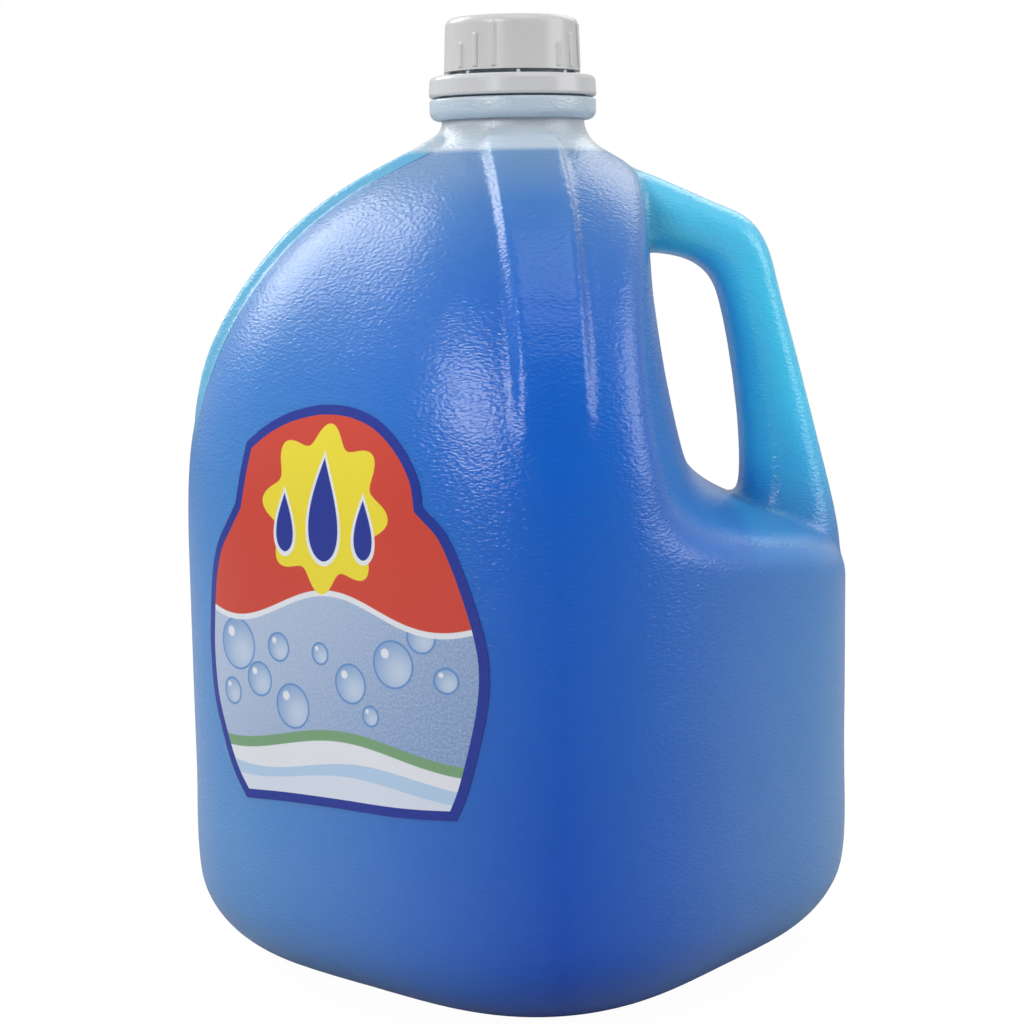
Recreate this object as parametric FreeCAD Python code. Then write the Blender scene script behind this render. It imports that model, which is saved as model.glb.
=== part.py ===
import FreeCAD, Part
import math
import os
from FreeCAD import Vector as V

os.makedirs("parts", exist_ok=True)

# Body: a square with bowed sides and round corners, turned so that its corners lie on X and Y
NECK_R = 20.94
SIDE_H = 43
CORNER_R = 45.73
BOW = 1.24
BASE_IN = 36.42
BASE_UP = 30.86
WALL = 1.2
NECK_TOP = 249.38

# Shoulder seen over a corner: distance from the axis and height
SHOULDER = [
    (98.89, 127.47), (98.69, 135.57), (98.34, 143.66), (97.63, 151.75), (96.31, 159.85), (94.49, 167.94),
    (91.96, 175.53), (88.62, 183.62), (83.97, 192.53), (78.81, 200.62), (72.13, 209.12), (64.75, 216.71),
    (56.15, 223.59), (47.04, 229.55), (37.64, 234.61), (30.15, 238.05), (25.09, 240.89), (22.06, 244.02),
    (20.94, 247.46),
]

# Grip recess on the +X corner: distance of its back wall from the axis, by height
GRIP_BACK = [
    (101.17, 192.22), (109.26, 129.5), (114.32, 113.31), (119.38, 104.21), (124.44, 95.61), (129.5, 85.0),
    (133.54, 72.9), (137.59, 62.6), (141.64, 55.4), (146.7, 50.2), (151.75, 47.7), (161.87, 45.1),
    (174.01, 42.5), (188.18, 40.1), (202.34, 38.2), (212.46, 37.6), (222.57, 36.6), (230.67, 35.9),
    (238.76, 35.1), (252.93, 34.4),
]
GRIP_BOW_R = 220.0
GRIP_SOFT = [(128.0, 16.0), (150.0, 7.5)]
SHELF_FALL = 0.08

# Handle: outer point, inner point and half width at each station, in the X-Z plane
HANDLE = [
    ((16.19, 241.39), (9.11, 208.41), 15.18),
    ((33.39, 235.32), (25.29, 209.42), 14.77),
    ((49.57, 228.64), (41.48, 209.32), 14.06),
    ((61.21, 223.48), (51.6, 207.3), 13.66),
    ((70.11, 218.83), (57.06, 203.96), 13.46),
    ((75.47, 211.04), (60.3, 199.51), 13.46),
    ((78.31, 201.13), (62.32, 193.23), 13.56),
    ((82.55, 185.34), (64.75, 181.09), 13.66),
    ((87.21, 167.74), (66.97, 164.91), 13.96),
    ((91.96, 149.12), (68.19, 148.72), 14.77),
    ((95.5, 134.76), (67.38, 136.38), 16.39),
    ((97.73, 121.4), (62.73, 123.43), 19.22),
    ((97.53, 107.24), (57.67, 109.26), 20.23),
    ((93.08, 95.1), (62.73, 95.1), 18.21),
]

# Raised spines down the three free corners
SPINE_RISE = 1.9
SPINE_TOP = 246.45
SPINE_END = 151.75
SPINE_HALF_TOP = 10.72
SPINE_HALF_END = 8.09
SPINE_DEEP = 6.0

# Base: push-up inside a flat rest ring, and the pinch-off ridge across it
REST_IN_R = 43.5
PUSH_UP = 4.0
PINCH_W = 1.4
PINCH_H = 0.8

# Neck finish
SHANK_R = 19.9
THROAT_R = 19.1
BEAD_R = 24.48
BEAD_Z0 = NECK_TOP - 0.7
BEAD_Z1 = BEAD_Z0 + 6.17
COLLAR_R = 20.84
CATCH_R = 22.46
CATCH_Z0 = BEAD_Z1 + 2.83
CATCH_Z1 = CATCH_Z0 + 1.42
COLLAR_TOP = CATCH_Z1 + 0.5
FINISH_R = 16.69
BORE_R = 14.97
LIP_Z = COLLAR_TOP + 15.99

# Cap
CAP_FOOT = COLLAR_TOP + 3.04
CAP_TOP = LIP_Z + 2.53
CAP_FOOT_R = 20.03
CAP_TOP_R = 19.53
CAP_BORE_R = 18.36
CAP_TOP_T = 1.5
CAP_EDGE = 2.4
RIB_R = 0.95
RIB_STAND = 0.62
RIB_TURN = -95.9
RIBS = [(-48.0, 7.18), (-32.0, 9.71), (-15.5, 12.74)]

# Liner in the cap
LINER_FIT = 0.05
LINER_SEAT = 0.12

# Tamper ring
RING_R = 24.63
RING_TOP_R = 24.38
RING_Z0 = BEAD_Z1 + 0.5
RING_Z1 = RING_Z0 + 5.97
RING_WALL = 1.3
RING_LIP_R = 21.4
RING_FLANGE_R = 19.42
RING_FLANGE_T = 1.0
NIB_W = 1.0
NIB_GAP = 0.3
NIBS = 8

# Contents and label
FILL_Z = 239.57
FILL_FIT = 0.15
LABEL_FIT = 0.05
LABEL_T = 0.2

# Points round a section, and heights where the long skin faces are divided
N_AROUND = 48
DIVIDE_Z = [60.0, 215.0]
STRAIGHT_R = SIDE_H * 2 ** (1 / BOW) * math.sqrt(0.5) + CORNER_R


def between(table, z, flip=False):
    """Value at z, from a table of (z, value) or (value, z) pairs in rising z."""
    rows = [(b, a) for a, b in table] if flip else list(table)
    if z <= rows[0][0]:
        return rows[0][1]
    for (z0, a), (z1, b) in zip(rows, rows[1:]):
        if z <= z1:
            return a + (b - a) * (z - z0) / (z1 - z0)
    return rows[-1][1]


def smooth(table, z, flip=False, reach=3.0):
    """The same, averaged over a short height so that its slope has no corners."""
    total = 0.0
    for i in range(-4, 5):
        total += between(table, z + reach * i / 4.0, flip)
    return total / 9.0


def shoulder(z):
    return between(SHOULDER, z, flip=True)


def slope(z):
    return (shoulder(z + 0.8) - shoulder(z - 0.8)) / 1.6


def section(z, inset, extra):
    """Closed list of points at height z, the wall moved in by inset and the base rounding by extra."""
    t = (shoulder(z) - NECK_R) / (STRAIGHT_R - NECK_R)
    lean = math.sqrt(1.0 + slope(z) ** 2) if z > SHOULDER[0][1] else 1.0
    h = SIDE_H * t
    r = NECK_R + (CORNER_R - NECK_R) * t - inset * min(lean, 3.2) - extra
    dense = []
    m = 720
    for i in range(m + 1):
        a = 0.75 * math.pi + 2 * math.pi * i / m
        c = math.cos(a - math.pi / 4)
        s = math.sin(a - math.pi / 4)
        ca = max(abs(c), 1e-7)
        sa = max(abs(s), 1e-7)
        q = ca ** BOW + sa ** BOW
        p = h * q ** (1 / BOW) + r
        d = h * q ** (1 / BOW - 1) * (
            -(ca ** (BOW - 1)) * math.copysign(1, c) * s + sa ** (BOW - 1) * math.copysign(1, s) * c
        )
        dense.append((p * math.cos(a) - d * math.sin(a), p * math.sin(a) + d * math.cos(a)))
    run = [0.0]
    for (x0, y0), (x1, y1) in zip(dense, dense[1:]):
        run.append(run[-1] + math.hypot(x1 - x0, y1 - y0))
    out = []
    k = 0
    for j in range(N_AROUND):
        want = run[-1] * j / N_AROUND
        while run[k + 1] < want:
            k += 1
        f = (want - run[k]) / (run[k + 1] - run[k])
        x = dense[k][0] + (dense[k + 1][0] - dense[k][0]) * f
        y = dense[k][1] + (dense[k + 1][1] - dense[k][1]) * f
        out.append((grip(x, y, z, inset), y))
    return out


def grip(x, y, z, inset):
    """Holds a point of the section back to the wall of the grip recess, with a soft edge."""
    if x < 0:
        return x
    zz = z + SHELF_FALL * abs(y)
    wall = smooth(GRIP_BACK, zz)
    rate = (smooth(GRIP_BACK, zz + 1.0) - smooth(GRIP_BACK, zz - 1.0)) / 2.0
    wall -= y * y / (2 * GRIP_BOW_R) + inset * min(math.sqrt(1.0 + rate * rate), 2.6)
    soft = between(GRIP_SOFT, z)
    g = min(1.0, max(0.0, 0.5 + 0.5 * (wall - x) / soft))
    return wall * (1 - g) + x * g - soft * g * (1 - g)


def skinned(rows):
    """Closed solid with one smooth skin through rings of points and a flat cap at each end."""
    n = len(rows[0])
    across = [i / n for i in range(n + 1)]
    along = [0.0]
    for a, b in zip(rows, rows[1:]):
        along.append(along[-1] + sum(p.distanceToPoint(q) for p, q in zip(a, b)) / n)
    along = [x / along[-1] for x in along]
    rings = []
    for row in rows:
        ring = Part.BSplineCurve()
        ring.interpolate(Points=row, PeriodicFlag=True, Parameters=across)
        rings.append(ring)
    poles = []
    for j in range(1, rings[0].NbPoles + 1):
        line = Part.BSplineCurve()
        line.interpolate(Points=[ring.getPole(j) for ring in rings], Parameters=along)
        poles.append(line.getPoles())
    surface = Part.BSplineSurface()
    surface.buildFromPolesMultsKnots(
        poles, rings[0].getMultiplicities(), line.getMultiplicities(),
        rings[0].getKnots(), line.getKnots(), True, False, 3, 3,
    )
    face = surface.toShape()
    faces = [face]
    for e in face.Edges:
        at = e.firstVertex().Point
        if e.isClosed() and min(at.distanceToPoint(rows[0][0]), at.distanceToPoint(rows[-1][0])) < 0.001:
            faces.append(Part.Face(Part.Wire([e])))
    shell = Part.makeShell(faces)
    shell.sewShape(0.0001)
    return Part.makeSolid(Part.Shell(shell.Faces))


def levels(inset):
    """Heights of the sections, each with how far the base rounding pulls it in."""
    out = []
    run_in = BASE_IN - inset
    rise = BASE_UP - inset
    for i in range(7):
        a = math.radians(15 * i)
        out.append((inset + rise * (1 - math.cos(a)), run_in * (1 - math.sin(a))))
    shelf, back = GRIP_BACK[0][0], GRIP_BACK[10][0]
    plain = 3
    for i in range(1, plain + 1):
        out.append((BASE_UP + (shelf - BASE_UP) * i / plain, 0.0))
    n = 11
    for i in range(1, n + 1):
        out.append((shelf + (back - shelf) * i / n, 0.0))
    n = 11
    for i in range(1, n + 1):
        out.append((back + (NECK_TOP - 13.0 - back) * i / n, 0.0))
    for down in (9.2, 5.8, 2.6, 0.0):
        out.append((NECK_TOP - down, 0.0))
    return out


def main_form(inset):
    return skinned([[V(x, y, z) for x, y in section(z, inset, extra)] for z, extra in levels(inset)])


def handle_form(inset):
    rows = []
    for (ox, oz), (ix, iz), half in HANDLE:
        ux, uz = ox - ix, oz - iz
        size = math.hypot(ux, uz)
        ux, uz = ux / size, uz / size
        a = size / 2 - inset
        b = half - inset
        cx, cz = (ox + ix) / 2, (oz + iz) / 2
        pts = []
        for i in range(24):
            w = 2 * math.pi * i / 24 + math.pi
            c, s = math.cos(w), math.sin(w)
            fat = (abs(c) ** 2.5 + abs(s) ** 2.5) ** (-1 / 2.5)
            pts.append(V(cx + ux * a * c * fat, b * s * fat, cz + uz * a * c * fat))
        rows.append(pts)
    return skinned(rows)


def spine_form(inset):
    """One raised spine in the X-Z plane on the -X side."""
    outer, inner = [], []
    z = SPINE_END - 12.0
    while z <= SPINE_TOP + 0.01:
        r = shoulder(z)
        s = slope(z)
        k = math.sqrt(1 + s * s)
        nr, nz = 1 / k, -s / k
        up = min(1.0, max(0.0, (z - SPINE_END) / 34.0))
        down = min(1.0, max(0.0, (SPINE_TOP - z) / 4.0))
        rise = -0.8 + (SPINE_RISE + 0.8) * min(up * up * (3 - 2 * up), down)
        outer.append(V(-(r + (rise - inset) * nr), 0, z + (rise - inset) * nz))
        inner.append(V(-(r - (SPINE_DEEP + inset) * nr), 0, z - (SPINE_DEEP + inset) * nz))
        z += 4.0
    a = Part.BSplineCurve()
    a.interpolate(outer)
    b = Part.BSplineCurve()
    b.interpolate(inner)
    wire = Part.Wire([
        a.toShape(), Part.makeLine(outer[-1], inner[-1]), b.toShape(), Part.makeLine(inner[0], outer[0]),
    ])
    wide = SPINE_HALF_TOP - inset
    slim = SPINE_HALF_END - inset
    slab = Part.Face(wire)
    slab.translate(V(0, -wide - 1, 0))
    slab = slab.extrude(V(0, 2 * wide + 2, 0))
    z0, z1 = SPINE_END - 20.0, SPINE_TOP + 8.0
    cheek = Part.makePolygon([
        V(-140, -slim, z0), V(-140, slim, z0), V(-140, wide, z1), V(-140, -wide, z1), V(-140, -slim, z0),
    ])
    return slab.common(Part.Face(cheek).extrude(V(140, 0, 0)))


def turned(points):
    """Solid of revolution about Z from (radius, height) points."""
    pts = [V(r, 0, z) for r, z in points]
    face = Part.Face(Part.makePolygon(pts + [pts[0]]))
    return face.revolve(V(0, 0, 0), V(0, 0, 1), 360)


def arc_points(cx, cz, r, a0, a1, n=6):
    out = []
    for i in range(n + 1):
        a = math.radians(a0 + (a1 - a0) * i / n)
        out.append((cx + r * math.cos(a), cz + r * math.sin(a)))
    return out


def whole(inset):
    form = main_form(inset)
    form = form.fuse(handle_form(inset))
    for turn in (0, 90, -90):
        spine = spine_form(inset)
        spine.rotate(V(0, 0, 0), V(0, 0, 1), turn)
        form = form.fuse(spine)
    return form


def divided(solid, heights):
    """The same solid with its long skin faces divided at some heights, so that each stays simple."""
    size = 3 * CORNER_R + 3 * SIDE_H
    planes = [Part.makePlane(size, size, V(-size / 2, -size / 2, z), V(0, 0, 1)) for z in heights]
    pieces = solid.generalFuse(planes)[0]
    seen = {}
    for piece in pieces.Solids:
        for f in piece.Faces:
            seen.setdefault(f.hashCode(), []).append(f)
    shell = Part.makeShell([same[0] for same in seen.values() if len(same) == 1])
    shell.sewShape(0.0001)
    return Part.makeSolid(Part.Shell(shell.Faces))


# Bottle
bead = [(0, NECK_TOP - 6.0), (SHANK_R, NECK_TOP - 6.0), (SHANK_R, BEAD_Z0)]
bead += arc_points(BEAD_R - 2.6, BEAD_Z0 + 2.6, 2.6, -80, 0)
bead += arc_points(BEAD_R - 0.8, BEAD_Z1 - 0.8, 0.8, 0, 90, 3)
bead += [(COLLAR_R, BEAD_Z1), (COLLAR_R, CATCH_Z0), (CATCH_R, CATCH_Z0 + 0.4), (CATCH_R, CATCH_Z0 + 0.8)]
bead += [(COLLAR_R, CATCH_Z1), (COLLAR_R, COLLAR_TOP), (FINISH_R, COLLAR_TOP + 1.0)]
bead += [(FINISH_R, LIP_Z - 0.4), (FINISH_R - 0.4, LIP_Z), (0, LIP_Z)]
bore = turned([
    (0, NECK_TOP - 7.0), (THROAT_R, NECK_TOP - 7.0), (THROAT_R, COLLAR_TOP - 3.4),
    (BORE_R, COLLAR_TOP - 0.9), (BORE_R, LIP_Z + 1), (0, LIP_Z + 1),
])
push = Part.makeSphere((REST_IN_R ** 2 + PUSH_UP ** 2) / (2 * PUSH_UP))
push.translate(V(0, 0, PUSH_UP - (REST_IN_R ** 2 + PUSH_UP ** 2) / (2 * PUSH_UP)))
lift = push.copy()
lift.translate(V(0, 0, WALL))
pinch = Part.makeBox(2 * REST_IN_R - 8, PINCH_W, PUSH_UP + 1, V(-REST_IN_R + 4, -PINCH_W / 2, 0))
pinch = pinch.common(lift)
drop = push.copy()
drop.translate(V(0, 0, -PINCH_H))

outer = whole(0.0).fuse(turned(bead))
outer = outer.cut(push).fuse(pinch.cut(drop))
cavity = whole(WALL).cut(lift).fuse(bore)
bottle = outer.cut(cavity)
bottle = divided(max(bottle.Solids, key=lambda s: s.Volume), DIVIDE_Z)

# Contents
fill = whole(WALL + FILL_FIT)
lift.translate(V(0, 0, FILL_FIT))
fill = fill.cut(lift).common(Part.makeBox(400, 400, FILL_Z, V(-200, -200, 0)))
detergent = max(fill.Solids, key=lambda s: s.Volume)

# Cap
skin = turned([
    (0, CAP_FOOT), (CAP_FOOT_R, CAP_FOOT), (CAP_TOP_R, CAP_TOP - CAP_EDGE),
] + arc_points(CAP_TOP_R - CAP_EDGE, CAP_TOP - CAP_EDGE, CAP_EDGE, 15, 90, 6) + [(0, CAP_TOP)])
for quarter in range(4):
    for angle, rise in RIBS:
        top = CAP_FOOT + rise
        rib = Part.makeCylinder(RIB_R, top - CAP_FOOT - 0.9, V(0, 0, CAP_FOOT + 0.9))
        rib = rib.fuse(Part.makeSphere(RIB_R, V(0, 0, top)))
        lean_r = CAP_FOOT_R + RIB_STAND - RIB_R
        rib.translate(V(lean_r, 0, 0))
        rib.rotate(V(lean_r, 0, CAP_FOOT), V(0, 1, 0), -math.degrees(0.032))
        rib.rotate(V(0, 0, 0), V(0, 0, 1), RIB_TURN + angle + 90 * quarter)
        skin = skin.fuse(rib)
hollow = Part.makeCylinder(CAP_BORE_R, CAP_TOP - CAP_TOP_T - CAP_FOOT + 1, V(0, 0, CAP_FOOT - 1))
cap = skin.cut(hollow)
cap = max(cap.Solids, key=lambda s: s.Volume)

# Seal: a soft flat liner between the neck's lip and the top of the cap
seal_z0 = LIP_Z + LINER_SEAT
seal_z1 = CAP_TOP - CAP_TOP_T - LINER_FIT
seal = Part.makeCylinder(CAP_BORE_R - LINER_FIT, seal_z1 - seal_z0, V(0, 0, seal_z0))

# Tamper ring
band = turned([
    (RING_LIP_R, RING_Z0 + 0.3), (RING_R - 0.7, RING_Z0), (RING_R - 0.2, RING_Z0 + 0.2), (RING_R, RING_Z0 + 0.8),
    (RING_TOP_R, RING_Z1 - 1.2), (RING_TOP_R - 0.35, RING_Z1 - 0.4), (RING_TOP_R - 1.2, RING_Z1),
    (RING_FLANGE_R, RING_Z1), (RING_FLANGE_R, RING_Z1 - RING_FLANGE_T),
    (RING_R - RING_WALL, RING_Z1 - RING_FLANGE_T), (RING_R - RING_WALL, RING_Z0 + 1.9),
    (RING_LIP_R, RING_Z0 + 1.5),
])
for i in range(NIBS):
    nib_h = CAP_FOOT - NIB_GAP - RING_Z1 + 0.3
    nib = Part.makeBox(0.5, NIB_W, nib_h, V(RING_FLANGE_R + 0.05, -NIB_W / 2, RING_Z1 - 0.3))
    nib.rotate(V(0, 0, 0), V(0, 0, 1), RIB_TURN + 5 + 360.0 / NIBS * i)
    band = band.fuse(nib)

# Label on the face turned to -X and -Y: runs of its outline between its corners, distance along the face and height
LABEL = [
    [(-26.87, 160.02), (-19.85, 164.73), (-12.49, 168.2), (-6.35, 170.01), (0.91, 171.32), (10.45, 171.28),
     (19.14, 169.28), (25.61, 165.85), (30.86, 161.26), (34.45, 156.61), (36.56, 152.26), (37.65, 146.51)],
    [(37.65, 146.51), (43.86, 140.69), (47.71, 133.38), (50.93, 124.51), (53.26, 116.3), (54.84, 108.04),
     (55.07, 100.46), (54.27, 92.81), (52.76, 85.09), (50.46, 75.73), (48.51, 69.41), (46.12, 63.62)],
    [(46.12, 63.62), (29.44, 62.55), (9.03, 61.7), (-13.04, 60.35), (-29.29, 58.72)],
    [(-29.29, 58.72), (-35.04, 65.87), (-39.72, 75.08), (-43.95, 86.08), (-45.42, 97.59), (-45.03, 107.71),
     (-43.23, 120.45), (-39.89, 129.94), (-34.82, 137.01), (-30.69, 142.64)],
    [(-30.69, 142.64), (-29.02, 150.37), (-26.87, 160.02)],
]
skin_in = main_form(-LABEL_FIT)
skin_out = main_form(-LABEL_FIT - LABEL_T)
s45 = math.sqrt(0.5)
edges = []
for run in LABEL:
    edge = Part.BSplineCurve()
    edge.interpolate([V(a * s45, -a * s45, z) for a, z in run])
    edges.append(edge.toShape())
stamp = Part.Face(Part.Wire(edges)).extrude(V(-120 * s45, -120 * s45, 0))
label = stamp.common(skin_out).cut(skin_in)
label = max(label.Solids, key=lambda s: s.Volume)

for name, shape in (
    ("bottle", bottle), ("detergent", detergent), ("cap", cap), ("cap_seal", seal), ("tamper_ring", band),
    ("label", label),
):
    shape.exportStep("parts/" + name + ".step")
    print(name, shape.isValid(), len(shape.Solids), round(shape.Volume / 1000, 2), "cm3")
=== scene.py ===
# %% [markdown]
# A five-litre detergent jug
#
# The jug is one hollow blow-moulded bottle of milky polyethylene, full of blue liquid. It has a side
# handle, a white screw cap with a tamper ring, and a shaped paper label on one face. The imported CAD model
# comes in first and is the fixed frame: every piece below is made in metres, in its place.

# %% Load the frame
import math

import bpy
from mathutils import Matrix, Quaternion, Vector


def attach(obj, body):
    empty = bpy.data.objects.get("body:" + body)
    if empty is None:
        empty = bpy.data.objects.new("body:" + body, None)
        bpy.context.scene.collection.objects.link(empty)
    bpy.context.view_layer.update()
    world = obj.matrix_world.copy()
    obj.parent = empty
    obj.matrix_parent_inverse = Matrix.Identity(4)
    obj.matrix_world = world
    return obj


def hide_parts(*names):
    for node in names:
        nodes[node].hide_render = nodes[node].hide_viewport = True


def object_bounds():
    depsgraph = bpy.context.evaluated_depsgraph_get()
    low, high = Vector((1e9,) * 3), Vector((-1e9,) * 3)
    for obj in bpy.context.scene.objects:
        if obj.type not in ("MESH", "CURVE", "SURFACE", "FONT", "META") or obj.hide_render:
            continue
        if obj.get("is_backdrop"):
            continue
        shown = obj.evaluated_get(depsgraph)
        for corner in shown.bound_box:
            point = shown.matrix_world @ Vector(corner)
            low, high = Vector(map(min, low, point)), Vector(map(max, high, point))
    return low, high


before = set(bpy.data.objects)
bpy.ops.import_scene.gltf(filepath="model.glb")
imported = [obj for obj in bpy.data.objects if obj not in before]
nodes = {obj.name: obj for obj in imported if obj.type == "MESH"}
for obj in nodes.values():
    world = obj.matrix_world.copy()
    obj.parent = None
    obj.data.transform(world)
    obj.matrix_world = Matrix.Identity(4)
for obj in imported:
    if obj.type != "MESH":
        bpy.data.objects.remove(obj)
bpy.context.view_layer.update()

# %% [markdown]
# Helpers for modelling
#
# Blender's operators work on whatever is selected, so each step first deselects everything, and selects
# the one piece it works on. Lengths are written in millimetres and turned into metres where they are used.

# %% Helpers for modelling
MM = 0.001


def take(*pieces):
    """Selects these pieces only, the last one active."""
    bpy.ops.object.select_all(action="DESELECT")
    for piece in pieces:
        piece.select_set(True)
    bpy.context.view_layer.objects.active = pieces[-1]


def edit(piece, select="SELECT"):
    """Opens the piece for editing with all of it selected, or none."""
    take(piece)
    bpy.ops.object.mode_set(mode="EDIT")
    bpy.ops.mesh.select_all(action=select)


def done():
    bpy.ops.object.mode_set(mode="OBJECT")


def modify(piece, name, kind, **settings):
    """Adds a modifier with these settings and applies it."""
    take(piece)
    modifier = piece.modifiers.new(name, kind)
    for key, value in settings.items():
        setattr(modifier, key, value)
    bpy.ops.object.modifier_apply(modifier=modifier.name)


def settle(piece):
    """Leaves the piece's place in its mesh and its object at the origin."""
    take(piece)
    bpy.ops.object.transform_apply(location=True, rotation=True, scale=True)


def copy_of(node, name):
    """A new piece with a merged copy of a CAD node's mesh."""
    take(nodes[node])
    bpy.ops.object.duplicate()
    piece = bpy.context.active_object
    for key in list(piece.keys()):
        del piece[key]
    world = piece.matrix_world.copy()
    piece.parent = None
    piece.matrix_world = world
    piece.name = name
    piece.data = piece.data.copy()
    piece.data.name = name
    settle(piece)
    piece.data.materials.clear()
    edit(piece)
    bpy.ops.mesh.remove_doubles(threshold=0.000002)
    bpy.ops.mesh.customdata_custom_splitnormals_clear()
    done()
    return piece


# %% [markdown]
# Helpers for materials
#
# Each finish is a Principled shader fed by small maths nodes. Colours are written as the eye sees them,
# from 0 to 255, and turned into the linear values that the shader wants.

# %% Helpers for materials
def linear(*shade):
    """Turns red, green and blue from 0 to 255 into the linear colour."""
    out = []
    for part in shade:
        v = part / 255
        out.append(v / 12.92 if v <= 0.04045 else ((v + 0.055) / 1.055) ** 2.4)
    return (*out, 1.0)


class Finish:
    """A material being wired up, one short call for each node."""

    def __init__(self, name, roughness, source="Object"):
        self.material = bpy.data.materials.new(name)
        self.material.use_nodes = True
        self.tree = self.material.node_tree
        self.shader = self.tree.nodes["Principled BSDF"]
        self.shader.inputs["Roughness"].default_value = roughness
        place = self.tree.nodes.new("ShaderNodeTexCoord")
        self.place = place.outputs[source]
        split = self.tree.nodes.new("ShaderNodeSeparateXYZ")
        self.link(self.place, split.inputs[0])
        self.x, self.y, self.z = split.outputs

    def link(self, output, socket):
        self.tree.links.new(output, socket)

    def feed(self, value, socket):
        """Gives the socket another node's output, or a constant."""
        if isinstance(value, bpy.types.NodeSocket):
            self.link(value, socket)
        else:
            socket.default_value = value

    def maths(self, operation, a, b=0.0, c=0.0):
        node = self.tree.nodes.new("ShaderNodeMath")
        node.operation = operation
        self.feed(a, node.inputs[0])
        self.feed(b, node.inputs[1])
        self.feed(c, node.inputs[2])
        return node.outputs[0]

    def ramp(self, value, start, end, low=0.0, high=1.0):
        """Goes smoothly from low at start to high at end."""
        node = self.tree.nodes.new("ShaderNodeMapRange")
        node.interpolation_type = "SMOOTHSTEP"
        self.feed(value, node.inputs[0])
        for socket, number in zip(node.inputs[1:5], (start, end, low, high)):
            socket.default_value = number
        return node.outputs[0]

    def mix(self, share, a, b):
        """Colour a where share is 0, colour b where it is 1."""
        node = self.tree.nodes.new("ShaderNodeMix")
        node.data_type = "RGBA"
        self.feed(share, node.inputs["Factor"])
        self.feed(a, node.inputs[6])
        self.feed(b, node.inputs[7])
        return node.outputs[2]

    def bands(self, value, end, stops):
        """A colour that follows value from 0 to end through (value, colour) stops."""
        node = self.tree.nodes.new("ShaderNodeValToRGB")
        self.link(self.maths("DIVIDE", value, end), node.inputs[0])
        ramp = node.color_ramp
        while len(ramp.elements) < len(stops):
            ramp.elements.new(0.5)
        for element, (place, shade) in zip(ramp.elements, stops):
            element.position = place / end
            element.color = linear(*shade)
        return node.outputs[0]

    def noise(self, scale, detail, stretch=(1, 1, 1)):
        mapping = self.tree.nodes.new("ShaderNodeMapping")
        mapping.inputs["Scale"].default_value = stretch
        self.link(self.place, mapping.inputs[0])
        node = self.tree.nodes.new("ShaderNodeTexNoise")
        node.inputs["Scale"].default_value = scale
        node.inputs["Detail"].default_value = detail
        self.link(mapping.outputs[0], node.inputs["Vector"])
        return node.outputs[0]

    def colour(self, value):
        self.feed(value, self.shader.inputs["Base Color"])

    def bump(self, height, distance, strength):
        node = self.tree.nodes.new("ShaderNodeBump")
        node.inputs["Strength"].default_value = strength
        node.inputs["Distance"].default_value = distance
        self.link(height, node.inputs["Height"])
        self.link(node.outputs[0], self.shader.inputs["Normal"])


# %% [markdown]
# The camera
#
# The camera stands where the photographer stood: a little to the left of the near corner, just above the
# middle of the jug, looking down by eight degrees, and tipped by less than a degree.

# %% Set up the camera
PLACE = Vector((-66.95, -645.7, 222.3)) * MM
YAW = math.radians(-5.74)
DOWN = math.radians(7.89)
TIP = math.radians(-0.87)
SENSOR = 36
LENS = 76.34

bpy.ops.object.camera_add()
camera = bpy.context.active_object
turn = Matrix.Rotation(YAW, 4, "Z") @ Matrix.Rotation(math.pi / 2 - DOWN, 4, "X")
turn = turn @ Matrix.Rotation(TIP, 4, "Z")
camera.matrix_world = Matrix.Translation(PLACE) @ turn
camera.data.sensor_width = SENSOR
camera.data.lens = LENS
camera.data.clip_start = 0.01
bpy.context.scene.camera = camera
bpy.context.scene.view_settings.view_transform = "Standard"
print("camera at", [round(v, 3) for v in PLACE])

# %% [markdown]
# The light
#
# A product photograph of a glossy jug is lit by large soft boxes, which show as broad pale patches on the
# shoulders. The world gives soft light from the sides and behind, less from the front, so that the corner
# towards the camera stays deep blue. To the camera itself the world is plain white.

# %% Soft boxes and the world
def soft_box(name, place, aim, wide, high, power, shape="RECTANGLE", roll=0):
    """An area light in metres and watts, turned to its aim and rolled by degrees."""
    bpy.ops.object.light_add(type="AREA")
    lamp = bpy.context.active_object
    lamp.name = name
    lamp.data.shape = shape
    lamp.data.size = wide
    lamp.data.size_y = high
    lamp.data.energy = power
    lamp.location = place
    look = (Vector(aim) - Vector(place)).to_track_quat("-Z", "Y")
    lamp.rotation_euler = (look @ Quaternion((0, 0, 1), math.radians(roll))).to_euler()
    return lamp


soft_box("key_left", (-0.81, -0.99, 0.84), (0, 0, 0.13), 1.0, 0.5, 11.5, "ELLIPSE", -32)
soft_box("rim_left", (-0.77, 0.67, 0.94), (0, 0, 0.17), 0.78, 0.74, 7, "ELLIPSE")
soft_box("rim_right", (0.58, 0.88, 0.92), (0, 0, 0.17), 0.6, 0.6, 1.7, "ELLIPSE")
soft_box("fill_high", (0.3, -0.5, 1.6), (0, 0, 0.15), 0.9, 0.9, 3.8)
soft_box("fill_right", (1.42, -0.36, 0.72), (0, 0, 0.13), 0.95, 0.95, 10)

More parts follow.
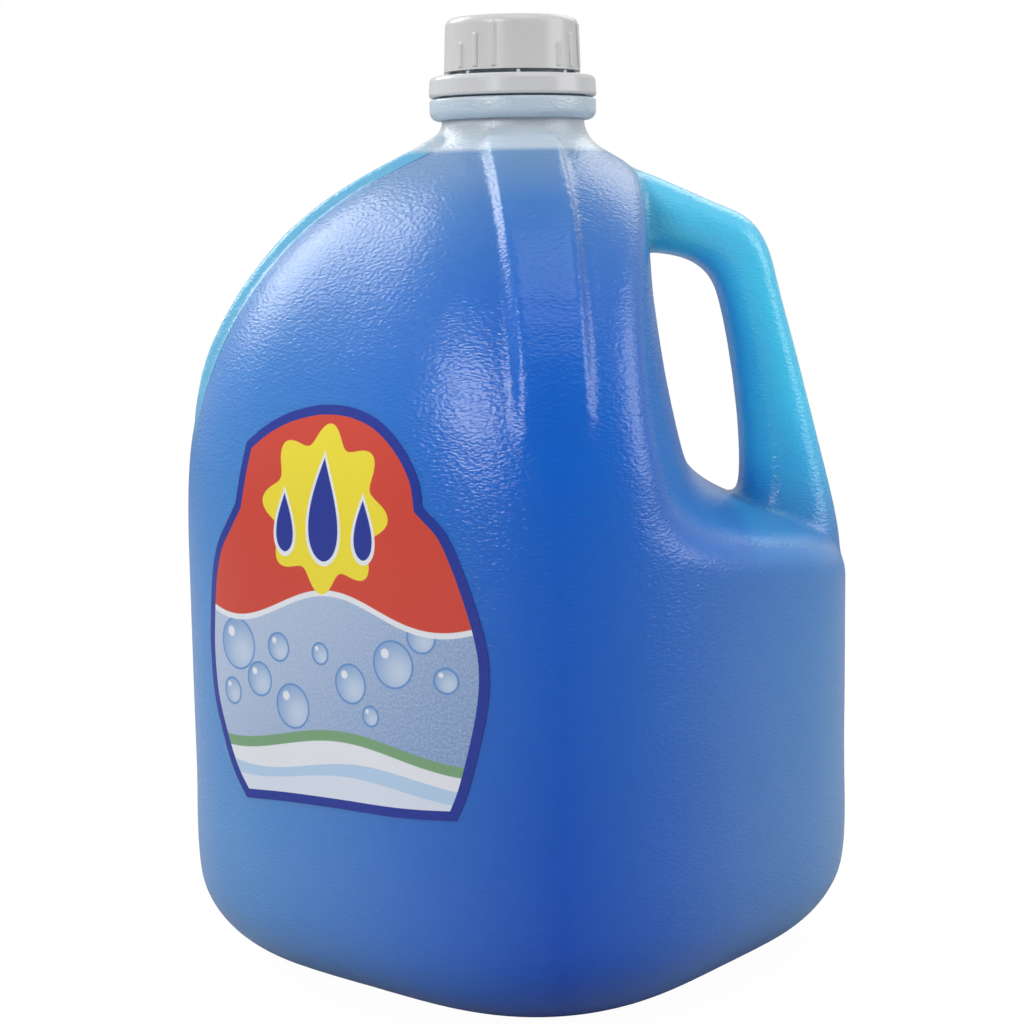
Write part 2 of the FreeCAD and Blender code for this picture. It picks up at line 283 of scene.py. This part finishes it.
world = bpy.data.worlds.new("studio")
bpy.context.scene.world = world
world.use_nodes = True
sky = world.node_tree
background = sky.nodes["Background"]
where = sky.nodes.new("ShaderNodeTexCoord")
split = sky.nodes.new("ShaderNodeSeparateXYZ")
sky.links.new(where.outputs["Generated"], split.inputs[0])
FRONT, BEHIND = -1.0, 0.35
FRONT_LEVEL, BEHIND_LEVEL = 0.14, 0.6
level = sky.nodes.new("ShaderNodeMapRange")
level.interpolation_type = "SMOOTHSTEP"
for socket, number in zip(level.inputs[1:5], (FRONT, BEHIND, FRONT_LEVEL, BEHIND_LEVEL)):
    socket.default_value = number
sky.links.new(split.outputs[1], level.inputs[0])
path = sky.nodes.new("ShaderNodeLightPath")
seen = sky.nodes.new("ShaderNodeMath")
seen.operation = "MAXIMUM"
sky.links.new(path.outputs["Is Camera Ray"], seen.inputs[0])
sky.links.new(path.outputs["Is Transmission Ray"], seen.inputs[1])
strength = sky.nodes.new("ShaderNodeMath")
strength.operation = "MAXIMUM"
sky.links.new(seen.outputs[0], strength.inputs[0])
sky.links.new(level.outputs[0], strength.inputs[1])
sky.links.new(strength.outputs[0], background.inputs["Strength"])
background.inputs["Color"].default_value = (1, 1, 1, 1)

# %% [markdown]
# The floor
#
# The photograph is cut out on white. A large pale floor stands in for it: to the camera it is mostly plain
# white, and a share of its real shading is kept, so that the jug still has a soft shadow to stand in.

# %% Floor
FLOOR_SIZE = 12
FLOOR_GAP = 0.0002
GLOW = 1.08
GLOW_SHARE = 0.9

bpy.ops.object.select_all(action="DESELECT")
bpy.ops.mesh.primitive_plane_add(size=FLOOR_SIZE, location=(0, 0, -FLOOR_GAP))
floor = bpy.context.active_object
floor.name = "floor"
settle(floor)
floor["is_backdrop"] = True
paper = Finish("studio_paper", 0.9)
paper.colour(paper.mix(paper.noise(60, 3), linear(168, 168, 168), linear(174, 174, 174)))
glow = paper.tree.nodes.new("ShaderNodeEmission")
glow.inputs["Strength"].default_value = GLOW
blend = paper.tree.nodes.new("ShaderNodeMixShader")
path = paper.tree.nodes.new("ShaderNodeLightPath")
paper.link(paper.maths("MULTIPLY", path.outputs["Is Camera Ray"], GLOW_SHARE), blend.inputs[0])
paper.link(paper.shader.outputs[0], blend.inputs[1])
paper.link(glow.outputs[0], blend.inputs[2])
paper.link(blend.outputs[0], paper.tree.nodes["Material Output"].inputs[0])
floor.data.materials.append(paper.material)

# %% [markdown]
# The bottle's skin
#
# The real bottle is blown into a mould, so nothing on it has a sharp edge: the handle, the spines and the
# grip recess run into the body with soft radii. The CAD solids meet in plain intersections. A copy of the
# CAD skin is therefore closed at the neck and rebuilt from small even voxels, which joins everything into
# one surface, and is then smoothed a little, as the plastic rounds itself off in the mould.

# %% Outer skin, closed at the neck
NECK_CUT = 248.6
CUT_RIM = 0.003
VOXEL = 0.0014
SMOOTHING = 4

skin = copy_of("bottle", "bottle_skin")
edit(skin)
bpy.ops.mesh.bisect(plane_co=(0, 0, NECK_CUT * MM), plane_no=(0, 0, 1), clear_outer=True)
bpy.ops.mesh.select_all(action="SELECT")
bpy.ops.mesh.separate(type="LOOSE")
done()
parts = [o for o in bpy.context.selected_objects if o.type == "MESH"]
parts.sort(key=lambda o: max(v.co.x for v in o.data.vertices) - min(v.co.x for v in o.data.vertices))
skin = parts.pop()
for extra in parts:
    bpy.data.objects.remove(extra)
skin.name = "bottle_skin"
edit(skin, "DESELECT")
bpy.ops.mesh.select_mode(type="EDGE")
bpy.ops.mesh.select_non_manifold()
bpy.ops.mesh.extrude_region_move(TRANSFORM_OT_translate={"value": (0, 0, CUT_RIM)})
bpy.ops.mesh.edge_face_add()
bpy.ops.mesh.select_all(action="SELECT")
bpy.ops.mesh.normals_make_consistent(inside=False)
done()
print("outer skin", len(skin.data.polygons), "faces")

# %% One smooth surface
modify(skin, "even_voxels", "REMESH", mode="VOXEL", voxel_size=VOXEL, use_smooth_shade=True)
modify(skin, "mould_radii", "SMOOTH", factor=0.5, iterations=SMOOTHING)
print("skin", len(skin.data.polygons), "faces")

# %% [markdown]
# The neck finish
#
# Above the shoulder the neck is round: a rolled bead, a collar with a catch for the tamper ring, and the
# finish with its mouth. A round piece is drawn as half a profile and spun about the bottle's axis.

# %% Neck finish, spun
ROUND_STEPS = 128
THROAT_R = 0.0192
THROAT_DEEP = 0.02
THROAT_Z = 0.248


def spun(name, profile):
    """A closed ring with this profile of (radius, height) in millimetres, spun about Z."""
    mesh = bpy.data.meshes.new(name)
    count = len(profile)
    edges = [(i, (i + 1) % count) for i in range(count)]
    mesh.from_pydata([(r * MM, 0, z * MM) for r, z in profile], edges, [])
    piece = bpy.data.objects.new(name, mesh)
    bpy.context.collection.objects.link(piece)
    edit(piece)
    bpy.ops.mesh.spin(steps=ROUND_STEPS, angle=2 * math.pi, center=(0, 0, 0), axis=(0, 0, 1))
    bpy.ops.mesh.select_all(action="SELECT")
    bpy.ops.mesh.remove_doubles(threshold=0.000001)
    bpy.ops.mesh.normals_make_consistent(inside=False)
    done()
    take(piece)
    bpy.ops.object.shade_smooth_by_angle(angle=math.radians(35))
    return piece


def arc(r, z, radius, start, end, count=8):
    """Points on an arc about (r, z), from one angle to another in degrees."""
    out = []
    for i in range(count + 1):
        a = math.radians(start + (end - start) * i / count)
        out.append((r + radius * math.cos(a), z + radius * math.sin(a)))
    return out


NECK_PROFILE = [(19.14, 238.0), (20.3, 238.0), (20.3, 248.9)]
NECK_PROFILE += arc(21.88, 251.28, 2.6, -80, 0)
NECK_PROFILE += arc(23.68, 254.05, 0.8, 0, 90, 4)
NECK_PROFILE += [(20.84, 254.85), (20.84, 257.68), (22.46, 258.08), (22.46, 258.48), (20.84, 259.1)]
NECK_PROFILE += [(20.84, 259.6), (16.69, 260.6), (16.69, 275.19), (16.29, 275.59), (15.2, 275.59)]
NECK_PROFILE += [(14.97, 275.3), (14.97, 258.7), (19.14, 256.2)]
neck = spun("neck_finish", NECK_PROFILE)

bpy.ops.object.select_all(action="DESELECT")
bpy.ops.mesh.primitive_cylinder_add(
    vertices=ROUND_STEPS, radius=THROAT_R, depth=THROAT_DEEP, location=(0, 0, THROAT_Z),
)
throat = bpy.context.active_object
modify(skin, "throat", "BOOLEAN", operation="DIFFERENCE", solver="EXACT", object=throat)
bpy.data.objects.remove(throat)
take(neck, skin)
bpy.ops.object.join()
skin.name = "bottle_skin"
take(skin)
bpy.ops.object.shade_smooth_by_angle(angle=math.radians(40))
print("skin with neck", len(skin.data.polygons), "faces")

# %% [markdown]
# The bottle's finish
#
# The wall is milky, the liquid behind it is a strong blue. Towards the near corner, at minus Y, the blue is
# painted deeper, as shade where less light falls; towards the sides it is painted paler, as light and
# reflection from the white surroundings; it also changes with height. In the handle there is little liquid,
# and it turns to cyan; beside the grip the handle is painted brighter still, as light shining through it.
# Along the thin spine the cyan is partly the thin liquid's own colour and partly painted light shining
# through it, with painted shade along its edges. Above the liquid the wall shows its own milky white. All
# of this depends only on where a point of the wall is, so the colours are mixed from its coordinates. A
# fine ripple from the mould shows in the highlights.

# %% Painted shade at the near corner, painted light paler to the sides
LIQUID_LINE = (0.2386, 0.2406)
PALEST_AT = 1.15

hdpe = Finish("milky_wall_over_blue", 0.25)
hdpe.shader.inputs["Subsurface Weight"].default_value = 0.3
hdpe.shader.inputs["Subsurface Radius"].default_value = (0.25, 0.7, 1.0)
hdpe.shader.inputs["Subsurface Scale"].default_value = 0.012
# The corner towards minus Y is painted a deeper blue, as shade where less light falls.
corner_blue_painted_shade = hdpe.bands(hdpe.z, 0.25, [
    (0.0, (0, 76, 182)), (0.03, (0, 78, 188)), (0.097, (0, 90, 196)), (0.162, (0, 98, 204)),
    (0.199, (20, 100, 198)), (0.225, (44, 112, 186)), (0.236, (90, 132, 182)), (0.239, (100, 142, 186)),
])
# The sides are painted paler and greyer, as light and reflection from the white surroundings.
side_blue_painted_light = hdpe.bands(hdpe.z, 0.25, [
    (0.0, (86, 142, 204)), (0.04, (92, 146, 206)), (0.09, (82, 144, 208)), (0.13, (68, 136, 206)),
    (0.177, (58, 128, 204)), (0.21, (74, 128, 190)), (0.239, (104, 140, 184)),
])
around = hdpe.maths("ARCTAN2", hdpe.x, hdpe.maths("MULTIPLY", hdpe.y, -1.0))
aside = hdpe.maths("ABSOLUTE", around)
base = hdpe.mix(hdpe.maths("MINIMUM", hdpe.maths("DIVIDE", aside, PALEST_AT), 1.0), corner_blue_painted_shade, side_blue_painted_light)

# %% Cyan in the handle, with painted light shining through it beside the grip
grip_line = hdpe.ramp(hdpe.z, 0.14, 0.235, 0.059, 0.033)
past_grip = hdpe.maths("SUBTRACT", hdpe.x, grip_line)
in_handle = hdpe.ramp(past_grip, -0.003, 0.007)
above_shelf = hdpe.ramp(hdpe.z, 0.118, 0.145)
cyan = hdpe.bands(hdpe.z, 0.25, [
    (0.12, (66, 144, 206)), (0.145, (66, 184, 236)), (0.165, (70, 208, 250)), (0.2, (76, 208, 244)),
    (0.24, (98, 192, 228)),
])
base = hdpe.mix(hdpe.maths("MULTIPLY", in_handle, above_shelf), base, cyan)
# Beside the grip the handle is painted brighter, as light shining through the thin handle onto its shaded
# inner faces.
handle_glow_painted_light = hdpe.maths("MULTIPLY", hdpe.ramp(past_grip, 0.022, 0.008), in_handle)
handle_glow_painted_light = hdpe.maths("MULTIPLY", handle_glow_painted_light, hdpe.ramp(hdpe.z, 0.138, 0.152, 0.0, 0.75))
handle_glow_painted_light = hdpe.maths("MULTIPLY", handle_glow_painted_light, hdpe.ramp(hdpe.z, 0.222, 0.206))
base = hdpe.mix(handle_glow_painted_light, base, linear(98, 240, 255))

# %% Painted light along the spine of the far corner, painted shade at its edges, milky wall above the liquid
across = hdpe.maths("ABSOLUTE", hdpe.y)
crest_side = hdpe.maths("MULTIPLY", hdpe.ramp(hdpe.x, -0.01, -0.03), hdpe.ramp(hdpe.z, 0.15, 0.175))
# A thin band at the spine's edges is painted darker, as shade where the spine meets the body.
crest_rim_painted_shade = hdpe.maths("MULTIPLY", crest_side, hdpe.ramp(across, 0.0131, 0.0125))
base = hdpe.mix(hdpe.maths("MULTIPLY", crest_rim_painted_shade, 0.75), base, linear(40, 112, 168))
# The spine is painted bright cyan: partly the thin liquid's own colour, partly painted light shining
# through it.
crest = hdpe.maths("MULTIPLY", crest_side, hdpe.ramp(across, 0.0121, 0.0116))
base = hdpe.mix(crest, base, linear(106, 178, 214))
base = hdpe.mix(hdpe.ramp(hdpe.z, *LIQUID_LINE), base, linear(190, 205, 219))
hdpe.colour(base)
hdpe.bump(hdpe.noise(700, 1.5, (1, 1, 2.0)), 0.0004, 0.6)
skin.data.materials.clear()
skin.data.materials.append(hdpe.material)
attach(skin, "bottle")
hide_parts("bottle")

# %% [markdown]
# The label
#
# A paper label is printed flat, cut to its outline and pressed onto the bowed face. The piece is made the
# same way: the outline is drawn flat, an inset gives the printed border, parallel cuts give it enough faces
# to bend, Shrinkwrap lays it on the skin and Solidify gives the paper its thickness. The flat coordinates
# are kept as the UV map, in units of a millimetre, so that the print bends with the paper.

# %% The label's outline
OUTLINE = [
    [(-26.87, 160.02), (-19.85, 164.73), (-12.49, 168.2), (-6.35, 170.01), (0.91, 171.32), (10.45, 171.28),
     (19.14, 169.28), (25.61, 165.85), (30.86, 161.26), (34.45, 156.61), (36.56, 152.26), (37.65, 146.51)],
    [(37.65, 146.51), (43.86, 140.69), (47.71, 133.38), (50.93, 124.51), (53.26, 116.3), (54.84, 108.04),
     (55.07, 100.46), (54.27, 92.81), (52.76, 85.09), (50.46, 75.73), (48.51, 69.41), (46.12, 63.62)],
    [(46.12, 63.62), (29.44, 62.55), (9.03, 61.7), (-13.04, 60.35), (-29.29, 58.72)],
    [(-29.29, 58.72), (-35.04, 65.87), (-39.72, 75.08), (-43.95, 86.08), (-45.42, 97.59), (-45.03, 107.71),
     (-43.23, 120.45), (-39.89, 129.94), (-34.82, 137.01), (-30.69, 142.64)],
    [(-30.69, 142.64), (-29.02, 150.37), (-26.87, 160.02)],
]


def between(a, b, c, d, t):
    """The value at t on the way from b to c, in a smooth run of four."""
    bend = (2 * a - 5 * b + 4 * c - d) * t * t
    return 0.5 * (2 * b + (c - a) * t + bend + (3 * b - a - 3 * c + d) * t ** 3)


def through(points, steps=5):
    """A smooth line through the points, as a list without its last point."""
    first = [2 * a - b for a, b in zip(points[0], points[1])]
    last = [2 * a - b for a, b in zip(points[-1], points[-2])]
    run = [first, *points, last]
    out = []
    for p0, p1, p2, p3 in zip(run, run[1:], run[2:], run[3:]):
        for i in range(steps):
            out.append(tuple(between(a, b, c, d, i / steps) for a, b, c, d in zip(p0, p1, p2, p3)))
    return out


cut_line = [point for run in OUTLINE for point in through(run)]
print("label outline", len(cut_line), "points")

# %% Cut the label, print border, lay it on
BORDER = 0.0026
CUT_EVERY = 4
PAPER = 0.00018
PAPER_GAP = 0.00008
STAND_OFF = 0.1

print_ink = Finish("label_print", 0.28, "UV")
border_ink = Finish("label_border", 0.28)
mesh = bpy.data.meshes.new("label_sheet")
mesh.from_pydata([(a * MM, z * MM, 0) for a, z in cut_line], [], [list(range(len(cut_line)))])
label = bpy.data.objects.new("label_sheet", mesh)
bpy.context.collection.objects.link(label)
label.data.materials.append(print_ink.material)
label.data.materials.append(border_ink.material)
edit(label)
bpy.ops.mesh.normals_make_consistent(inside=False)
bpy.ops.mesh.select_mode(type="FACE")
bpy.ops.mesh.inset(thickness=BORDER, depth=0, use_even_offset=True)
done()
for face in label.data.polygons:
    face.material_index = 0 if face.select else 1
edit(label)
for place in range(-44, 56, CUT_EVERY):
    bpy.ops.mesh.select_all(action="SELECT")
    bpy.ops.mesh.bisect(plane_co=(place * MM, 0, 0), plane_no=(1, 0, 0))
for place in range(60, 172, CUT_EVERY):
    bpy.ops.mesh.select_all(action="SELECT")
    bpy.ops.mesh.bisect(plane_co=(0, place * MM, 0), plane_no=(0, 1, 0))
done()
if label.data.polygons[0].normal.z < 0:
    edit(label)
    bpy.ops.mesh.flip_normals()
    done()
flat = label.data.uv_layers.new(name="flat")
for loop in label.data.loops:
    place = label.data.vertices[loop.vertex_index].co
    flat.data[loop.index].uv = (place.x / MM, place.y / MM)
label.matrix_world = Matrix((
    (math.sqrt(0.5), 0, -math.sqrt(0.5), -STAND_OFF),
    (-math.sqrt(0.5), 0, -math.sqrt(0.5), -STAND_OFF),
    (0, 1, 0, 0),
    (0, 0, 0, 1),
))
modify(
    label, "laid_on", "SHRINKWRAP", target=skin, wrap_method="PROJECT", use_project_z=True,
    use_negative_direction=True, use_positive_direction=False, offset=PAPER_GAP,
)
modify(label, "paper", "SOLIDIFY", thickness=PAPER, offset=1, material_offset=0)
settle(label)
take(label)
bpy.ops.object.shade_smooth_by_angle(angle=math.radians(40))
print("label", len(label.data.polygons), "faces")

# %% [markdown]
# The label's print
#
# The print is a plain fresh-looking design: a red field with a yellow flower and three navy drops on a pale
# blue ground with bubbles, a green wave and a white foot. Each motif is a mask made from distances in the
# flat coordinates, laid over the last one as a printer lays one ink over another.

# %% Inks and shapes
def flat_distance(x, z):
    """Distance from a point of the print, in millimetres."""
    node = print_ink.tree.nodes.new("ShaderNodeVectorMath")
    node.operation = "DISTANCE"
    print_ink.link(print_ink.place, node.inputs[0])
    node.inputs[1].default_value = (x, z, 0)
    return node.outputs["Value"]


def inside(distance, edge=0.0, soft=0.18):
    """A mask of 1 where the distance is less than the edge, with a soft rim."""
    return print_ink.ramp(print_ink.maths("SUBTRACT", distance, edge), -soft, soft, 1.0, 0.0)


def flower(x, z, radius, depth, petals, turn=0.0):
    """Distance beyond the edge of a flower shape."""
    angle = print_ink.maths(
        "ARCTAN2", print_ink.maths("SUBTRACT", print_ink.y, z), print_ink.maths("SUBTRACT", print_ink.x, x),
    )
    swing = print_ink.maths("COSINE", print_ink.maths("MULTIPLY_ADD", angle, petals, turn))
    edge = print_ink.maths("MULTIPLY_ADD", swing, depth, radius)
    return print_ink.maths("SUBTRACT", flat_distance(x, z), edge)


def drop(x, foot, high, half, grow=0.0):
    """Distance beyond the edge of a drop that stands on its round end."""
    t = print_ink.maths("DIVIDE", print_ink.maths("SUBTRACT", print_ink.y, foot - grow), high + 2.4 * grow)
    t = print_ink.maths("MINIMUM", print_ink.maths("MAXIMUM", t, 0.0), 1.0)
    swell = print_ink.maths("POWER", t, 0.5)
    taper = print_ink.maths("POWER", print_ink.maths("SUBTRACT", 1.0, t), 1.15)
    wide = print_ink.maths("MULTIPLY", swell, taper)
    wide = print_ink.maths("MULTIPLY_ADD", wide, 2.05 * (half + grow) + 0.3, -0.3)
    across = print_ink.maths("ABSOLUTE", print_ink.maths("SUBTRACT", print_ink.x, x))
    return print_ink.maths("SUBTRACT", across, wide)


def wave(height, swing, length, turn=0.0, fall=0.0):
    """Distance above a waving line."""
    angle = print_ink.maths("MULTIPLY_ADD", print_ink.x, 6.2832 / length, turn)
    line = print_ink.maths("MULTIPLY", print_ink.maths("SINE", angle), swing)
    line = print_ink.maths("ADD", line, print_ink.maths("MULTIPLY_ADD", print_ink.x, fall, height))
    return print_ink.maths("SUBTRACT", print_ink.y, line)


NAVY = linear(26, 48, 146)
RED = linear(206, 66, 48)
YELLOW = linear(236, 218, 52)
WHITE = linear(226, 230, 236)

# %% Pale ground with bubbles
slant = print_ink.maths("SUBTRACT", print_ink.y, print_ink.x)
ink = print_ink.mix(print_ink.ramp(slant, 20, 150), linear(120, 150, 196), linear(172, 190, 218))
grain = print_ink.noise(1.4, 3)
ink = print_ink.mix(print_ink.ramp(grain, 0.35, 0.7, 0.0, 0.3), ink, linear(205, 216, 232))
BUBBLES = [
    (-31, 103, 7.5), (-22, 94, 5.0), (-34, 89, 4.0), (-14, 104, 4.2), (28, 104, 6.6), (37, 112, 4.4),
    (44, 101, 3.6), (13, 97, 5.6), (2, 104, 3.2), (45, 122, 2.6), (-37, 116, 2.8), (20, 89, 3.0),
    (-9, 88, 6.4),
]
for x, z, radius in BUBBLES:
    away = flat_distance(x, z)
    ink = print_ink.mix(inside(away, radius), ink, linear(92, 140, 200))
    shaded = print_ink.ramp(flat_distance(x + 0.3 * radius, z - 0.3 * radius), 0, 1.5 * radius)
    body_tone = print_ink.mix(shaded, linear(190, 206, 228), linear(134, 166, 210))
    ink = print_ink.mix(inside(away, radius - 0.55), ink, body_tone)
    glint = flat_distance(x - 0.38 * radius, z + 0.42 * radius)
    ink = print_ink.mix(inside(glint, 0.2 * radius, 0.3), ink, WHITE)

# %% Waves at the foot, red field, flower and drops
foot = wave(80, 3.2, 92, 0.9, 0.02)
ink = print_ink.mix(inside(foot), ink, linear(120, 162, 120))
ink = print_ink.mix(inside(foot, -3.0), ink, WHITE)
ink = print_ink.mix(inside(wave(72, 2.6, 84, 0.3, 0.02)), ink, linear(178, 204, 232))
ink = print_ink.mix(inside(wave(68.5, 2.2, 84, 0.6, 0.02)), ink, linear(214, 222, 236))
top = print_ink.maths("MULTIPLY", wave(117, 4.6, 74, 1.1, 0.03), -1.0)
ink = print_ink.mix(inside(top, 1.6), ink, WHITE)
ink = print_ink.mix(inside(top), ink, RED)
ink = print_ink.mix(inside(flower(4, 143.5, 20.5, 2.6, 8, 0.4)), ink, YELLOW)
for x, z, high, half in ((4, 129.5, 29, 7.6), (-10.5, 131, 17, 4.6), (18.5, 131, 17, 4.6)):
    ink = print_ink.mix(inside(drop(x, z, high, half, 1.3)), ink, WHITE)
    ink = print_ink.mix(inside(drop(x, z, high, half)), ink, NAVY)
worn = print_ink.ramp(print_ink.noise(3.0, 4), 0.4, 0.75, 0.0, 0.1)
print_ink.colour(print_ink.mix(worn, ink, linear(120, 124, 140)))
print_ink.bump(print_ink.noise(1.1, 3), 0.00005, 0.25)
border_ink.colour(border_ink.mix(border_ink.noise(700, 3), linear(24, 44, 140), linear(34, 56, 154)))
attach(label, "bottle")
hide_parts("label")
print("print has", len(print_ink.tree.nodes), "nodes")

# %% [markdown]
# The screw threads
#
# A thread is one profile carried round and upward at a steady pitch, which is what the Screw modifier does.
# The neck's thread has one and a half turns. The cap's thread has one turn and starts half a pitch higher,
# so the two pass beside each other while the cap turns.

# %% Screw threads
PITCH = 4.2
STEPS_A_TURN = 64


def thread(name, body, root, crest, start, turns, foot, face):
    """A ridge between the root and crest radii, as wide as foot and face there, in millimetres."""
    across = [(root, -foot / 2), (crest, -face / 2), (crest, face / 2), (root, foot / 2)]
    mesh = bpy.data.meshes.new(name)
    corners = [(r * MM, 0, (start + up) * MM) for r, up in across]
    mesh.from_pydata(corners, [(0, 1), (1, 2), (2, 3), (3, 0)], [])
    piece = bpy.data.objects.new(name, mesh)
    bpy.context.collection.objects.link(piece)
    steps = round(STEPS_A_TURN * turns)
    modify(
        piece, "carried_round", "SCREW", axis="Z", angle=2 * math.pi * turns,
        screw_offset=PITCH * MM * turns, steps=steps, render_steps=steps, use_smooth_shade=False,
    )
    edit(piece, "DESELECT")
    bpy.ops.mesh.select_mode(type="EDGE")
    bpy.ops.mesh.select_non_manifold()
    bpy.ops.mesh.edge_face_add()
    bpy.ops.mesh.select_all(action="SELECT")
    bpy.ops.mesh.quads_convert_to_tris()
    bpy.ops.mesh.normals_make_consistent(inside=False)
    done()
    take(piece)
    bpy.ops.object.shade_smooth_by_angle(angle=math.radians(30))
    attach(piece, body)
    print(name, len(piece.data.polygons), "faces")
    return piece


neck_thread = thread("neck_thread", "bottle", 16.55, 17.91, 263.95, 1.5, 2.2, 1.0)
cap_thread = thread("cap_thread", "cap", 18.5, 17.1, 266.05, 1.0, 2.2, 0.8)
neck_thread.data.materials.append(hdpe.material)

# %% [markdown]
# The liquid
#
# The detergent fills the bottle up to the neck. It only shows through the open mouth, so the CAD solid
# stays and gets a clear, very glossy blue with faint streaks in it.

# %% Finish of the liquid
liquid = Finish("blue_liquid", 0.06)
liquid.colour(liquid.mix(liquid.noise(18, 4), linear(22, 78, 178), linear(36, 104, 200)))
nodes["detergent"].data.materials.clear()
nodes["detergent"].data.materials.append(liquid.material)

# %% [markdown]
# Cap, tamper ring and seal
#
# These are injection moulded in white polypropylene. The CAD solids have every rib, so they stay, and the
# finish brings a slight waviness and fine speckle as on a moulded surface. The cap's thread is of the same
# plastic as the cap.

# %% Finish of cap, ring and seal
def moulded(name, shade, roughness):
    finish = Finish(name, roughness)
    finish.colour(finish.mix(finish.noise(900, 3), linear(*shade), linear(*(v - 5 for v in shade))))
    finish.bump(finish.noise(260, 2), 0.0001, 0.2)
    return finish.material


for node, shade, roughness in (
    ("cap", (204, 204, 204), 0.26),
    ("tamper_ring", (208, 208, 210), 0.24),
    ("cap_seal", (232, 232, 226), 0.5),
):
    nodes[node].data.materials.clear()
    nodes[node].data.materials.append(moulded(node + "_finish", shade, roughness))
cap_thread.data.materials.append(nodes["cap"].data.materials[0])

# %% [markdown]
# Sizes and the end of the script

# %% Finish
low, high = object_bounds()
print("visual box", [round(v, 4) for v in low], [round(v, 4) for v in high])
